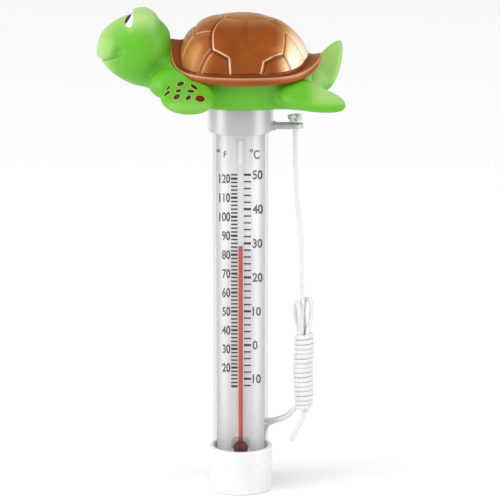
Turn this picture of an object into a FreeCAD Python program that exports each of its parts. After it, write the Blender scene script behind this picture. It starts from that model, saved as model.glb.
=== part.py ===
"""Floating pool thermometer with a turtle float, as separate sub-parts, in millimetres.

Frame: +Z up along the tube, origin on the tube's axis at the underside of the base cap.
The turtle's head points to -X, and the lanyard hangs from the tab on the +X side.
"""
import FreeCAD
import Part
import math
import os
from FreeCAD import Vector

# ---- driving dimensions ----
AXIS_GAP = 0.05            # clearance between pieces that only guide each other
PAST = 1.0                 # how far a cutting shape runs past the face it cuts

BASE_R = 15.6              # base cap
BASE_H = 22.0
BASE_FLOOR = 2.0
BASE_EDGE = 0.8

TUBE_R = 13.6              # clear outer tube
TUBE_WALL = 1.8
TUBE_TOP = 185.0
SEAL_T = 1.0

CAP_R = 15.9               # top cap
CAP_BOTTOM = 181.0
CAP_TOP = 194.45
CAP_ROOF = 2.0
CAP_EDGE = 0.6

TAB_Z = 182.2              # lanyard tab on the top cap
TAB_T = 2.0
TAB_W = 8.0
TAB_HOLE_X = 26.6
TAB_HOLE_R = 1.7
TAB_ROOT = (1.2, 1.0, 0.4)  # how far the tab's root stands out, and its extra half width and thickness

BALLAST_R = 11.5           # steel weight inside the base cap
BALLAST_H = 11.0
BALLAST_CHAMFER = 0.5
CUSHION_TOP = 17.0         # foam disc that the bulb stands on
HOLDER_BOTTOM = 181.5      # disc that centres the stem and the card at the top
HOLDER_H = 3.4

CARD_HALF_W = 11.6         # scale card, front face on the plane Y = 0
CARD_T = 0.8
CARD_SLOT_HALF = 4.6
CARD_SLOT_TOP = 27.0

STEM_Y = -2.9              # thermometer glass, in front of the card
STEM_R = 2.3
STEM_BORE_R = 1.15
STEM_TOP = 184.0
STEM_TIP_CHAMFER = 0.6
BORE_TOP = 180.0
BULB_Z = 21.0
BULB_R = 4.0
BULB_WALL = 0.3
NECK_Z = 26.5
NECK_GLASS_R = 1.7
SHOULDER_TOP = 28.0
OUTLINE_STEPS = 24
TAPE_T = 0.5
TAPE_W = 2.0
TAPE_H = 12.0
TAPE_GAP = 0.1
TAPE_Z = (34.0, 164.0)

ZERO_C_Z = 72.8            # the scale: height of 0 degrees C, and of one degree
DEGREE_C = 1.718
READING_C = 29.5
COLUMN_FOOT = 45.0         # below this the bore is always full
COLUMN_R = 1.1
MENISCUS_H = 0.6
MENISCUS_ROUND = 0.35

SPIGOT_R = 4.0             # the turtle turns on the cap's spigot
SPIGOT_TOP = 200.5
SPIGOT_CHAMFER = 0.6
BELLY_Z = 194.5
BUSH_R = 8.0
BUSH_FLANGE_R = 10.0
BUSH_TOP = 198.0
CLIP_R = 7.0
CLIP_T = 0.8

SKIN = 1.8                 # wall of the hollow turtle
TRUNK_X = 1.5
TRUNK_HALF = (32.0, 21.5)
TRUNK_TOP = 206.8
TRUNK_ROUND = 3.0
SKULL = (-46.8, 0.0, 222.9)
SKULL_R = 17.2
MUZZLE = (-56.7, 0.0, 218.2)
MUZZLE_R = 12.4
NECK_ROOT = (-22.0, 0.0, 204.0)
NECK_R = 11.5
FLIPPER_T = 6.6
FLIPPER_EDGE = 0.45        # edge rounding, as a share of the thickness, and of the tip's radius
FLIPPER_TIP = 0.7
# Each flipper's centre, half length and half width, and yaw, pitch and roll, for the +Y side.
# The hind ones kick: the near one, on -Y, is down and the far one is up.
FORE_FLIPPER = ((-22.0, 28.0, 203.0), (17.0, 12.5), (104, 14, 0))
HIND_FLIPPER_LOW = ((34.0, 18.5, 202.6), (19.0, 8.0), (22, 11, 0))
HIND_FLIPPER_HIGH = ((34.5, 18.2, 207.6), (17.5, 7.0), (20, -42, 0))
SHELL_X = 2.6
SHELL_RIM = (37.0, 27.5)
SHELL_DOME = (31.5, 23.5)
SHELL_RIM_Z = 207.5
SHELL_RIM_T = 3.0
SHELL_RIM_ROUND = 1.2
SHELL_GAP = 0.3
SHELL_TOP = 238.0
SHELL_T = 1.6

CORD_R = 1.2
ARC_SHARE = 0.45           # share of a straight run that the arc at its end may use
KNOT_R = 2.6
KNOT_X = 26.2
KNOT_SINK = 0.5            # how far the knot is pressed flat on the tab
HANK_X = 31.0
# The hank's half outline, from its foot over the wraps and the waist to the loops at its top.
HANK_OUTLINE = [
    (0.0, 37.6), (3.4, 37.6), (5.0, 42.0), (5.05, 78.5), (3.4, 80.5), (4.7, 85.0), (4.6, 91.0),
    (1.6, 95.5), (0.0, 95.5),
]

# The cord's route: from the tab's hole down to the hank, the loop that leaves the hank's foot and
# hangs over the base cap's rim behind the tube, and the free end.
LEAD_ROUTE = [
    (26.6, 0.0, 184.1), (26.7, 0.3, 172.0), (27.0, -0.4, 158.0), (27.6, 0.2, 144.5),
    (29.2, 0.6, 132.5), (30.1, 0.1, 120.5), (30.0, -0.4, 108.0), (30.3, 0.0, 95.5),
]
BIGHT_ROUTE = [
    (28.8, 0.4, 46.0), (26.6, 1.2, 39.4), (22.4, 2.8, 34.9), (17.2, 5.8, 32.5),
    (13.4, 9.8, 29.8), (11.6, 12.7, 24.8), (11.5, 14.4, 18.6), (11.6, 16.0, 12.2),
    (11.2, 17.6, 6.4), (7.8, 18.9, 2.5), (2.6, 19.3, 2.5), (-0.9, 18.8, 6.4),
    (-1.1, 18.0, 12.4), (0.2, 17.4, 18.6), (3.0, 16.7, 24.2), (7.4, 15.8, 28.2),
    (12.2, 13.9, 30.5), (17.0, 10.8, 31.6), (22.2, 7.4, 34.2), (26.4, 5.0, 38.6),
    (29.3, 3.2, 43.0), (31.0, 1.4, 47.4),
]
TAIL_ROUTE = [
    (31.8, -0.6, 43.0), (31.3, -0.8, 37.6), (29.3, -1.0, 32.6), (26.9, -0.8, 28.2),
    (24.8, -0.9, 23.6),
]


# ---- shape helpers ----
def disc(radius, low, high, x=0.0, y=0.0):
    """A solid cylinder along Z."""
    return Part.makeCylinder(radius, high - low, Vector(x, y, low))


def ring(outer, inner, low, high):
    """A flat ring or a tube along Z."""
    return disc(outer, low, high).cut(disc(inner, low - PAST, high + PAST))


def box(low, high):
    """A box from its two opposite corners."""
    size = [h - l for l, h in zip(low, high)]
    return Part.makeBox(size[0], size[1], size[2], Vector(*low))


def revolved(profile, x=0.0, y=0.0):
    """A solid of revolution about a vertical line, from (radius, height) points."""
    points = [Vector(x + r, y, z) for r, z in profile]
    wire = Part.makePolygon(points + points[:1])
    return Part.Face(wire).revolve(Vector(x, y, 0), Vector(0, 0, 1), 360)


def ellipsoid(centre, half):
    """An ellipsoid with half sizes along X, Y and Z."""
    scale = FreeCAD.Matrix()
    scale.scale(*half)
    body = Part.makeSphere(1.0).transformGeometry(scale)
    return body.translate(Vector(*centre))


def oval_prism(centre_x, half, low, high):
    """An upright prism on an ellipse."""
    curve = Part.Ellipse(Vector(centre_x, 0, low), half[0], half[1])
    face = Part.Face(Part.Wire(curve.toShape()))
    return face.extrude(Vector(0, 0, high - low))


def fused(shapes):
    """One solid from several that overlap."""
    return shapes[0].multiFuse(shapes[1:])


def cord_tube(name, route):
    """A round tube along straight runs joined by tangent arcs, each as large as its runs allow."""
    points = [Vector(*p) for p in route]
    edges = []
    radii = []
    start = points[0]
    for before, corner, after in zip(points, points[1:], points[2:]):
        come = (corner - before).normalize()
        go = (after - corner).normalize()
        turn = come.getAngle(go)
        reach = ARC_SHARE * min((corner - before).Length, (after - corner).Length)
        radii.append(reach / math.tan(turn / 2))
        first = corner - come * reach
        last = corner + go * reach
        inward = (go - come).normalize()
        # The arc's middle lies on the bisector, a little inside the corner.
        middle = corner + inward * (radii[-1] / math.cos(turn / 2) - radii[-1])
        edges.append(Part.LineSegment(start, first).toShape())
        edges.append(Part.Arc(first, middle, last).toShape())
        start = last
    edges.append(Part.LineSegment(start, points[-1]).toShape())
    path = Part.Wire(edges)
    circle = Part.Circle(points[0], points[1] - points[0], CORD_R)
    tube = path.makePipeShell([Part.Wire(circle.toShape())], True, True)
    ideal = math.pi * CORD_R ** 2 * path.Length
    print(name, "length %.1f" % path.Length, "volume ratio %.3f" % (tube.Volume / ideal),
          "radii", ["%.1f" % r for r in radii])
    return tube


# ---- tube, caps and ballast ----
def base_cap():
    """A white cup, closed below, with rounded outer edges."""
    cup = disc(BASE_R, 0, BASE_H)
    rims = [e for e in cup.Edges if isinstance(e.Curve, Part.Circle)]
    cup = cup.makeFillet(BASE_EDGE, rims)
    return cup.cut(disc(TUBE_R + AXIS_GAP, BASE_FLOOR, BASE_H + PAST))


def base_seal():
    """The rubber ring that the tube's lower end presses on."""
    return ring(TUBE_R, TUBE_R - TUBE_WALL, BASE_FLOOR, BASE_FLOOR + SEAL_T)


def outer_tube():
    """The clear tube, open at both ends and sealed by the caps."""
    return ring(TUBE_R, TUBE_R - TUBE_WALL, BASE_FLOOR + SEAL_T, TUBE_TOP)


def ballast_weight():
    """A steel slug that keeps the thermometer upright in the water."""
    slug = disc(BALLAST_R, BASE_FLOOR, BASE_FLOOR + BALLAST_H)
    return slug.makeChamfer(BALLAST_CHAMFER, [e for e in slug.Edges if isinstance(e.Curve, Part.Circle)])


def bulb_cushion():
    """A foam disc on the ballast, dished where the bulb stands on it."""
    foam = disc(TUBE_R - TUBE_WALL - AXIS_GAP, BASE_FLOOR + BALLAST_H, CUSHION_TOP)
    return foam.cut(Part.makeSphere(BULB_R + AXIS_GAP, Vector(0, STEM_Y, BULB_Z)))


def top_seal():
    """The rubber ring between the tube's upper end and the cap's shoulder."""
    return ring(TUBE_R, TUBE_R - TUBE_WALL, TUBE_TOP, TUBE_TOP + SEAL_T)


def top_cap():
    """The upper cap in one moulding with its spigot and its lanyard tab."""
    plug = disc(CAP_R, CAP_BOTTOM, CAP_TOP)
    plug = plug.makeFillet(CAP_EDGE, [e for e in plug.Edges if isinstance(e.Curve, Part.Circle)])
    tab = box((TUBE_R, -TAB_W / 2, TAB_Z), (TAB_HOLE_X, TAB_W / 2, TAB_Z + TAB_T))
    tab = tab.fuse(disc(TAB_W / 2, TAB_Z, TAB_Z + TAB_T, TAB_HOLE_X))
    out, wider, thicker = TAB_ROOT
    root = box((TUBE_R, -TAB_W / 2 - wider, TAB_Z - thicker),
               (CAP_R + out, TAB_W / 2 + wider, TAB_Z + TAB_T + thicker))
    spigot = disc(SPIGOT_R, CAP_TOP - CAP_ROOF / 2, SPIGOT_TOP)
    tip = [e for e in spigot.Edges if isinstance(e.Curve, Part.Circle) and e.BoundBox.ZMin > CAP_TOP]
    spigot = spigot.makeChamfer(SPIGOT_CHAMFER, tip)
    cap = fused([plug, tab, root, spigot])
    cap = cap.cut(disc(TUBE_R + AXIS_GAP, CAP_BOTTOM - PAST, TUBE_TOP + SEAL_T))
    cap = cap.cut(disc(BALLAST_R, TUBE_TOP, CAP_TOP - CAP_ROOF))
    return cap.cut(disc(TAB_HOLE_R, TAB_Z - PAST, TAB_Z + TAB_T + PAST, TAB_HOLE_X))


def top_holder():
    """A disc in the tube's mouth, bored for the stem. The card ends at its underside."""
    top = HOLDER_BOTTOM + HOLDER_H
    plug = disc(TUBE_R - TUBE_WALL - AXIS_GAP, HOLDER_BOTTOM, top)
    return plug.cut(disc(STEM_R + AXIS_GAP, HOLDER_BOTTOM - PAST, top + PAST, 0, STEM_Y))


# ---- scale and thermometer ----
def scale_card():
    """The flat printed card across the tube, notched at the foot for the bulb."""
    card = box((-CARD_HALF_W, 0, CUSHION_TOP), (CARD_HALF_W, CARD_T, HOLDER_BOTTOM))
    arch_z = CARD_SLOT_TOP - CARD_SLOT_HALF
    notch = box((-CARD_SLOT_HALF, -PAST, CUSHION_TOP - PAST), (CARD_SLOT_HALF, CARD_T + PAST, arch_z))
    arch = Part.makeCylinder(CARD_SLOT_HALF, CARD_T + 2 * PAST, Vector(0, -PAST, arch_z),
                             Vector(0, 1, 0))
    return card.cut(notch).cut(arch)


def bulb_profile(bulb_r, stem_r, top):
    """Half outline of a bulb with a short neck and a stem, closed along the axis."""
    join = math.asin(stem_r / bulb_r)
    points = [(0.0, BULB_Z - bulb_r)]
    for i in range(1, OUTLINE_STEPS + 1):
        angle = math.pi - (math.pi - join) * i / OUTLINE_STEPS
        points.append((bulb_r * math.sin(angle), BULB_Z + bulb_r * math.cos(angle)))
    return points + [(stem_r, top), (0.0, top)]


def thermometer_glass():
    """The glass: a thin bulb, a neck and a stem with a round bore."""
    outside = revolved(bulb_profile(BULB_R, NECK_GLASS_R, NECK_Z), 0, STEM_Y)
    stem = revolved([(0, BULB_Z), (NECK_GLASS_R, BULB_Z), (NECK_GLASS_R, NECK_Z), (STEM_R, SHOULDER_TOP),
                     (STEM_R, STEM_TOP - STEM_TIP_CHAMFER), (STEM_R - STEM_TIP_CHAMFER, STEM_TOP),
                     (0, STEM_TOP)], 0, STEM_Y)
    inside = revolved(bulb_profile(BULB_R - BULB_WALL, STEM_BORE_R, BORE_TOP), 0, STEM_Y)
    return outside.fuse(stem).cut(inside)


def bulb_spirit():
    """The spirit in the bulb and in the part of the bore that is always full."""
    return revolved(bulb_profile(BULB_R - BULB_WALL - AXIS_GAP, COLUMN_R, COLUMN_FOOT), 0, STEM_Y)


def reading_height(degrees):
    """Height of a temperature on the scale."""
    return ZERO_C_Z + DEGREE_C * degrees


def spirit_column():
    """The part of the spirit that grows and shrinks."""
    return disc(COLUMN_R, COLUMN_FOOT, reading_height(READING_C) - MENISCUS_H, 0, STEM_Y)


def spirit_meniscus():
    """The top of the spirit, a small domed drop that travels with the reading."""
    top = reading_height(READING_C)
    drop = disc(COLUMN_R, top - MENISCUS_H, top, 0, STEM_Y)
    middle = top - MENISCUS_H / 2
    edge = [e for e in drop.Edges if isinstance(e.Curve, Part.Circle) and e.BoundBox.ZMin > middle]
    return drop.makeFillet(MENISCUS_ROUND, edge)


def stem_tapes():
    """Two foam pads that hold the stem off the card."""
    back = STEM_Y + STEM_R + TAPE_GAP
    half = TAPE_W / 2
    return Part.makeCompound([box((-half, back, z), (half, back + TAPE_T, z + TAPE_H)) for z in TAPE_Z])


# ---- turtle ----
def figure_bush():
    """The bush closes the turtle's belly and turns on the spigot."""
    barrel = disc(BUSH_R - AXIS_GAP, BELLY_Z, BELLY_Z + SKIN)
    flange = disc(BUSH_FLANGE_R, BELLY_Z + SKIN, BUSH_TOP)
    return barrel.fuse(flange).cut(disc(SPIGOT_R + AXIS_GAP, BELLY_Z - PAST, BUSH_TOP + PAST))


def spigot_clip():
    """A push-on washer that keeps the turtle on the spigot."""
    low = BUSH_TOP + 2 * AXIS_GAP
    return ring(CLIP_R, SPIGOT_R, low, low + CLIP_T)


def head_parts(skin):
    """Skull, muzzle and neck, drawn in by the given wall."""
    skull = Part.makeSphere(SKULL_R - skin, Vector(*SKULL))
    muzzle = Part.makeSphere(MUZZLE_R - skin, Vector(*MUZZLE))
    along = Vector(*SKULL) - Vector(*NECK_ROOT)
    neck = Part.makeCylinder(NECK_R - skin, along.Length, Vector(*NECK_ROOT), along)
    return [skull, muzzle, neck]


def paddle(side, centre, half, turn):
    """A flat oval flipper with round edges on one side, turned by yaw, pitch and roll degrees."""
    blade = oval_prism(0, half, -FLIPPER_T / 2, FLIPPER_T / 2)
    tip_radius = half[1] ** 2 / half[0]
    edge = min(FLIPPER_EDGE * FLIPPER_T, FLIPPER_TIP * tip_radius)
    blade = blade.makeFillet(edge, [e for e in blade.Edges if e.BoundBox.ZLength < FLIPPER_T / 2])
    x, y, z = centre
    yaw, pitch, roll = turn
    blade.Placement = FreeCAD.Placement(Vector(x, side * y, z), FreeCAD.Rotation(side * yaw, pitch, roll))
    return blade


def flippers():
    """Two fore flippers alike, and two hind ones that kick apart."""
    fore = [paddle(side, *FORE_FLIPPER) for side in (-1, 1)]
    return fore + [paddle(-1, *HIND_FLIPPER_LOW), paddle(1, *HIND_FLIPPER_HIGH)]


def figure_body():
    """The green turtle: trunk, head and flippers as one hollow soft moulding."""
    trunk = oval_prism(TRUNK_X, TRUNK_HALF, BELLY_Z, TRUNK_TOP)
    low_edge = [e for e in trunk.Edges if e.BoundBox.ZMax < BELLY_Z + PAST]
    trunk = trunk.makeFillet(TRUNK_ROUND, low_edge)
    hollow = oval_prism(TRUNK_X, [h - SKIN for h in TRUNK_HALF], BELLY_Z + SKIN, TRUNK_TOP - SKIN)
    # The shell sits on the trunk, so nothing rises inside the shell's rim.
    room = oval_prism(SHELL_X, [r + SHELL_GAP for r in SHELL_RIM], SHELL_RIM_Z - SHELL_GAP, SHELL_TOP)
    head = fused(head_parts(0.0)).cut(room)
    head_hollow = fused(head_parts(SKIN)).cut(
        oval_prism(SHELL_X, [r + SKIN for r in SHELL_RIM], TRUNK_TOP - 2 * SKIN, SHELL_TOP))
    body = trunk.fuse(head)
    for blade in flippers():
        body = body.fuse(blade.cut(room))
    body = body.cut(hollow).cut(head_hollow)
    return body.cut(disc(BUSH_R, BELLY_Z - PAST, BELLY_Z + SKIN + PAST))


def figure_shell():
    """The carapace: a hollow dome with a flat rim, seated on the trunk."""
    height = SHELL_TOP - SHELL_RIM_Z
    foot = (SHELL_X, 0, SHELL_RIM_Z)
    dome = ellipsoid(foot, (*SHELL_DOME, height))
    dome = dome.common(oval_prism(SHELL_X, SHELL_RIM, SHELL_RIM_Z, SHELL_TOP + PAST))
    rim = oval_prism(SHELL_X, SHELL_RIM, SHELL_RIM_Z, SHELL_RIM_Z + SHELL_RIM_T)
    rim = rim.makeFillet(SHELL_RIM_ROUND, [e for e in rim.Edges if e.BoundBox.ZLength < SHELL_RIM_T / 2])
    hollow = ellipsoid(foot, [size - SHELL_T for size in (*SHELL_DOME, height)])
    return dome.fuse(rim).cut(hollow)


# ---- lanyard ----
def cord_knot():
    """The stopper knot on top of the tab."""
    seat = TAB_Z + TAB_T
    ball = Part.makeSphere(KNOT_R, Vector(KNOT_X, 0, seat + KNOT_R - KNOT_SINK))
    return ball.common(disc(2 * KNOT_R, seat, seat + 2 * KNOT_R, KNOT_X))


def cord_hank():
    """The hank's outer shape: the wrapped body and the loops that stand above it."""
    return revolved(HANK_OUTLINE, HANK_X, 0)


def build():
    """Every sub-part by its node's name."""
    return {
        "base_cap": base_cap(),
        "base_seal": base_seal(),
        "ballast_weight": ballast_weight(),
        "bulb_cushion": bulb_cushion(),
        "outer_tube": outer_tube(),
        "top_seal": top_seal(),
        "top_cap": top_cap(),
        "top_holder": top_holder(),
        "scale_card": scale_card(),
        "thermometer_glass": thermometer_glass(),
        "bulb_spirit": bulb_spirit(),
        "spirit_column": spirit_column(),
        "spirit_meniscus": spirit_meniscus(),
        "stem_tapes": stem_tapes(),
        "figure_bush": figure_bush(),
        "spigot_clip": spigot_clip(),
        "figure_body": figure_body(),
        "figure_shell": figure_shell(),
        "cord_knot": cord_knot(),
        "cord_lead": cord_tube("cord_lead", LEAD_ROUTE),
        "cord_hank": cord_hank(),
        "cord_bight": cord_tube("cord_bight", BIGHT_ROUTE),
        "cord_tail": cord_tube("cord_tail", TAIL_ROUTE),
    }


os.makedirs("parts", exist_ok=True)
for node, shape in build().items():
    shape.exportStep("parts/%s.step" % node)
    print(node, "solids", len(shape.Solids), "volume %.0f" % shape.Volume, "valid", shape.isValid())
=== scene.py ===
"""Looks of the floating pool thermometer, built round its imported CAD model.

Lengths are written in millimetres in the row frame and turned into metres where a mesh is made.
"""
import math
import random

import bpy
import numpy as np
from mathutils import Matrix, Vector


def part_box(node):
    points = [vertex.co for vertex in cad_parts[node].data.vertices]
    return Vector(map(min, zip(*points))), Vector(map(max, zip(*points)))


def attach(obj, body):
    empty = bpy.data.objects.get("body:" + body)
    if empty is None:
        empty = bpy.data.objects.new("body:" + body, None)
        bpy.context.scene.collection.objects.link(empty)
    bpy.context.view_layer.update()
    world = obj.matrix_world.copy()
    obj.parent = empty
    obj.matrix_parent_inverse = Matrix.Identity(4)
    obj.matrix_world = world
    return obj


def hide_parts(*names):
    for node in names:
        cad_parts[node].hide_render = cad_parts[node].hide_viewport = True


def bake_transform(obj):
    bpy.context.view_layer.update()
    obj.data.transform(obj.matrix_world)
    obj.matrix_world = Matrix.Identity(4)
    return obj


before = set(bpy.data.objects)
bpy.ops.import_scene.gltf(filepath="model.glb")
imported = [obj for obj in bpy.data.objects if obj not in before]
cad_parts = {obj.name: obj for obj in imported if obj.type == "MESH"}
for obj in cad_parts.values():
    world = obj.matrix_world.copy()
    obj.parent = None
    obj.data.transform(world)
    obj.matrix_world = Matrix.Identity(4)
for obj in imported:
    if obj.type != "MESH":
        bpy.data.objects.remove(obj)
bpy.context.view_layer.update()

MM = 0.001
ROOT = "thermometer"
TURTLE = "turtle"

# ---- camera ----
CAMERA_AIM = (4.6, 0.0, 121.0)
CAMERA_PITCH = 13.4
CAMERA_DISTANCE = 1900.0
CAMERA_LENS = 279.2
CAMERA_SENSOR = 36.0

# ---- light: strengths, the sun's spread in degrees, and half the floor's side ----
SKY = 0.56
SUN = 1.55
SUN_SPREAD = 70
LEFT_W = 9.0
RIGHT_W = 8.6
STRIP_W = 0.46
EDGE_W = 0.28
FLOOR_HALF = 12000.0

# ---- cord: its sizes, and its route from the tab's hole to its free end ----
CORD_D = 2.4
CORD_EXIT = (26.6, 0.0, 184.1)
LEAD_ROUTE = [
    CORD_EXIT, (26.7, 0.3, 172.0), (27.0, -0.4, 158.0), (27.6, 0.2, 144.5),
    (29.2, 0.6, 132.5), (30.1, 0.1, 120.5), (30.0, -0.4, 108.0), (30.3, 0.0, 95.5),
]
BIGHT_ROUTE = [
    (28.8, 0.4, 46.0), (26.6, 1.2, 39.4), (22.4, 2.8, 34.9), (17.2, 5.8, 32.5),
    (13.4, 9.8, 29.8), (11.6, 12.7, 24.8), (11.5, 14.4, 18.6), (11.6, 16.0, 12.2),
    (11.2, 17.6, 6.4), (7.8, 18.9, 2.5), (2.6, 19.3, 2.5), (-0.9, 18.8, 6.4),
    (-1.1, 18.0, 12.4), (0.2, 17.4, 18.6), (3.0, 16.7, 24.2), (7.4, 15.8, 28.2),
    (12.2, 13.9, 30.5), (17.0, 10.8, 31.6), (22.2, 7.4, 34.2), (26.4, 5.0, 38.6),
    (29.3, 3.2, 43.0), (31.0, 1.4, 47.4),
]
TAIL_ROUTE = [
    (31.8, -0.6, 43.0), (31.3, -0.8, 37.6), (29.3, -1.0, 32.6), (26.9, -0.8, 28.2),
    (24.8, -0.9, 23.6),
]
HANK_X = 31.0
HANK_CORE = 1.15
WRAP_TURNS = 16.5
WRAP_PITCH = 2.38
WRAP_LOW = 39.6
WRAP_R = 4.04
WRAP_STEPS = 12
WRAP_SKIP = 3             # steps left out of the first turn, so that the cord swings into it
LINE_STEP = 0.36
CORD_SIDES = 20


# ---- small helpers ----
def link(obj):
    """Puts a new object in the scene."""
    bpy.context.scene.collection.objects.link(obj)
    return obj


def mesh_object(name, points, faces, smooth=True):
    """A mesh object from millimetre points."""
    mesh = bpy.data.meshes.new(name)
    places = (np.asarray(points, float) * MM).tolist()
    mesh.from_pydata(places, [], [list(map(int, f)) for f in faces])
    mesh.update()
    if smooth:
        mesh.shade_smooth()
    return link(bpy.data.objects.new(name, mesh))


def float_attribute(obj, name, values):
    """Stores one number for each vertex, for a material to read."""
    layer = obj.data.attributes.new(name, "FLOAT", "POINT")
    layer.data.foreach_set("value", np.asarray(values, np.float32))


def drawn(curve):
    """Points, in metres, and faces that Blender draws for a curve, which is then removed."""
    holder = link(bpy.data.objects.new(curve.name, curve))
    bpy.context.view_layer.update()
    graph = bpy.context.evaluated_depsgraph_get()
    mesh = bpy.data.meshes.new_from_object(holder.evaluated_get(graph))
    points = np.array([v.co[:] for v in mesh.vertices])
    faces = [list(p.vertices) for p in mesh.polygons]
    bpy.data.meshes.remove(mesh)
    bpy.data.objects.remove(holder)
    bpy.data.curves.remove(curve)
    return points, faces


def joined(pieces):
    """One mesh from several, each given as its points and its faces."""
    verts, faces, offset = [], [], 0
    for points, polygons in pieces:
        verts.append(points)
        faces += [[a + offset for a in polygon] for polygon in polygons]
        offset += len(points)
    return np.vstack(verts), faces


def circle(count):
    """Angles spread evenly round a circle."""
    return np.arange(count) * 2 * math.pi / count


def ring_faces(rings, sides):
    """Quads that join rings of points, one ring to the next."""
    i = np.arange(rings - 1)[:, None] * sides
    j = np.arange(sides)[None, :]
    k = (j + 1) % sides
    return np.stack([i + j, i + sides + j, i + sides + k, i + k], axis=-1).reshape(-1, 4)


def folded(p):
    """Points with Y made positive, for what is alike on both sides."""
    return np.stack([p[:, 0], np.abs(p[:, 1]), p[:, 2]], axis=1)


def bell(x, width):
    """1 where x is 0, and falling smoothly to 0 within about two widths."""
    return np.exp(-(x / width) ** 2)


def unit(v):
    """Vectors of length one."""
    v = np.asarray(v, float)
    return v / np.maximum(np.linalg.norm(v, axis=-1, keepdims=True), 1e-12)


def squared(x, y, n):
    """How far out a point is, as a share of a squared circle of power n."""
    return (np.abs(x) ** n + np.abs(y) ** n) ** (1 / n)


def smoothstep(low, high, x):
    """0 below low, 1 above high, and smooth between them."""
    t = np.clip((x - low) / (high - low), 0, 1)
    return t * t * (3 - 2 * t)


# ---- materials ----
class Shader:
    """A small wrapper that makes node materials readable."""

    def __init__(self, name):
        self.material = bpy.data.materials.new(name)
        self.material.use_nodes = True
        self.tree = self.material.node_tree
        self.bsdf = self.tree.nodes["Principled BSDF"]
        self.out = self.tree.nodes["Material Output"]

    def node(self, kind, **values):
        """A node with its inputs set or linked by name, and its properties set."""
        made = self.tree.nodes.new(kind)
        for key, value in values.items():
            if hasattr(made, key) and key not in made.inputs:
                setattr(made, key, value)
            else:
                self.plug(value, made.inputs[key.replace("_", " ")])
        return made

    def plug(self, value, socket):
        """Links a socket, or sets a plain value."""
        if isinstance(value, bpy.types.NodeSocket):
            self.tree.links.new(value, socket)
        else:
            socket.default_value = value

    def set(self, **values):
        """Sets or links inputs of the Principled shader."""
        for key, value in values.items():
            self.plug(value, self.bsdf.inputs[key.replace("_", " ")])

    def coords(self, scale):
        """Object coordinates, which are the row frame in metres."""
        place = self.node("ShaderNodeTexCoord").outputs["Object"]
        scaled = self.node("ShaderNodeVectorMath", operation="SCALE", Vector=place, Scale=scale)
        return scaled.outputs[0]

    def noise(self, size_mm, detail=3.0, rough=0.5):
        """Noise whose lumps are about size_mm across."""
        place = self.coords(1.0 / (size_mm * MM))
        return self.node("ShaderNodeTexNoise", Vector=place, Scale=1.0, Detail=detail,
                         Roughness=rough).outputs[0]

    def attribute(self, name):
        """A number stored on the mesh."""
        return self.node("ShaderNodeAttribute", attribute_name=name).outputs["Fac"]

    def remap(self, value, low, high, to_low=0.0, to_high=1.0):
        """Straight remapping, clamped."""
        return self.node("ShaderNodeMapRange", Value=value, From_Min=low, From_Max=high,
                         To_Min=to_low, To_Max=to_high).outputs[0]

    def mix(self, factor, a, b):
        """A mix of two colours."""
        made = self.node("ShaderNodeMix", data_type="RGBA")
        self.plug(factor, made.inputs[0])
        for item, socket in zip((a, b), made.inputs[6:8]):
            self.plug(item if isinstance(item, bpy.types.NodeSocket) else (*item, 1.0), socket)
        return made.outputs[2]

    def paint(self, factor, a, b):
        """A mix of two colours, given as sockets or as 0 to 255 display values."""
        return self.mix(factor, *(c if isinstance(c, bpy.types.NodeSocket) else linear(*c)
                                  for c in (a, b)))

    def math(self, operation, *values):
        """Arithmetic on up to three values."""
        made = self.node("ShaderNodeMath", operation=operation)
        for value, socket in zip(values, made.inputs):
            self.plug(value, socket)
        return made.outputs[0]

    def bump(self, height, strength, distance_mm):
        """A bump from a height."""
        made = self.node("ShaderNodeBump", Strength=strength, Height=height,
                         Distance=distance_mm * MM)
        self.set(Normal=made.outputs[0])


def linear(red, green, blue):
    """A colour given as 0 to 255 display values, in linear light."""
    return tuple(((c / 255 + 0.055) / 1.055) ** 2.4 if c > 10 else c / 255 / 12.92
                 for c in (red, green, blue))


def dress(obj, material):
    """Gives every slot of an object this material."""
    obj.data.materials.clear()
    obj.data.materials.append(material)


def make_white_plastic(name, tone, roughness):
    """Moulded white plastic, with faint flow marks and a slightly uneven gloss."""
    s = Shader(name)
    cloud = s.noise(9.0, 4.0)
    s.set(Base_Color=s.paint(s.remap(cloud, 0.3, 0.7), tone, [c - 5 for c in tone]),
          Roughness=s.remap(cloud, 0.25, 0.75, roughness, roughness + 0.12),
          Specular_IOR_Level=0.5, Subsurface_Weight=0.08, Subsurface_Scale=0.002)
    s.bump(s.noise(0.7, 2.0), 0.02, 0.1)
    return s.material


def make_plain(name, grain, a, b, relief=None, **values):
    """A tone that drifts between two colours. relief is a bump's grain, strength and depth."""
    s = Shader(name)
    s.set(Base_Color=s.paint(s.noise(*grain), a, b), **values)
    if relief:
        s.bump(s.noise(*relief[0]), *relief[1:])
    return s.material


def make_steel(name, tone):
    """Turned steel with fine marks."""
    s = Shader(name)
    marks = s.noise(0.5, 5.0, 0.7)
    s.set(Base_Color=s.paint(marks, tone, [c - 25 for c in tone]), Metallic=1.0,
          Roughness=s.remap(marks, 0.3, 0.7, 0.25, 0.42))
    s.bump(marks, 0.1, 0.1)
    return s.material


CELL = 0.5


def make_foam():
    """Closed-cell foam, pitted all over."""
    s = Shader("cushion_foam")
    cells = s.node("ShaderNodeTexVoronoi", Vector=s.coords(1 / (CELL * MM)), Scale=1.0).outputs[0]
    s.set(Base_Color=s.paint(cells, (214, 214, 208), (236, 236, 232)), Roughness=0.9)
    s.bump(cells, 0.5, 0.2)
    return s.material


# Share of light that a polished face reflects head on, and how much more it reflects edge on.
FACING_SHARE = 0.03
GRAZING_SHARE = 0.6


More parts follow.
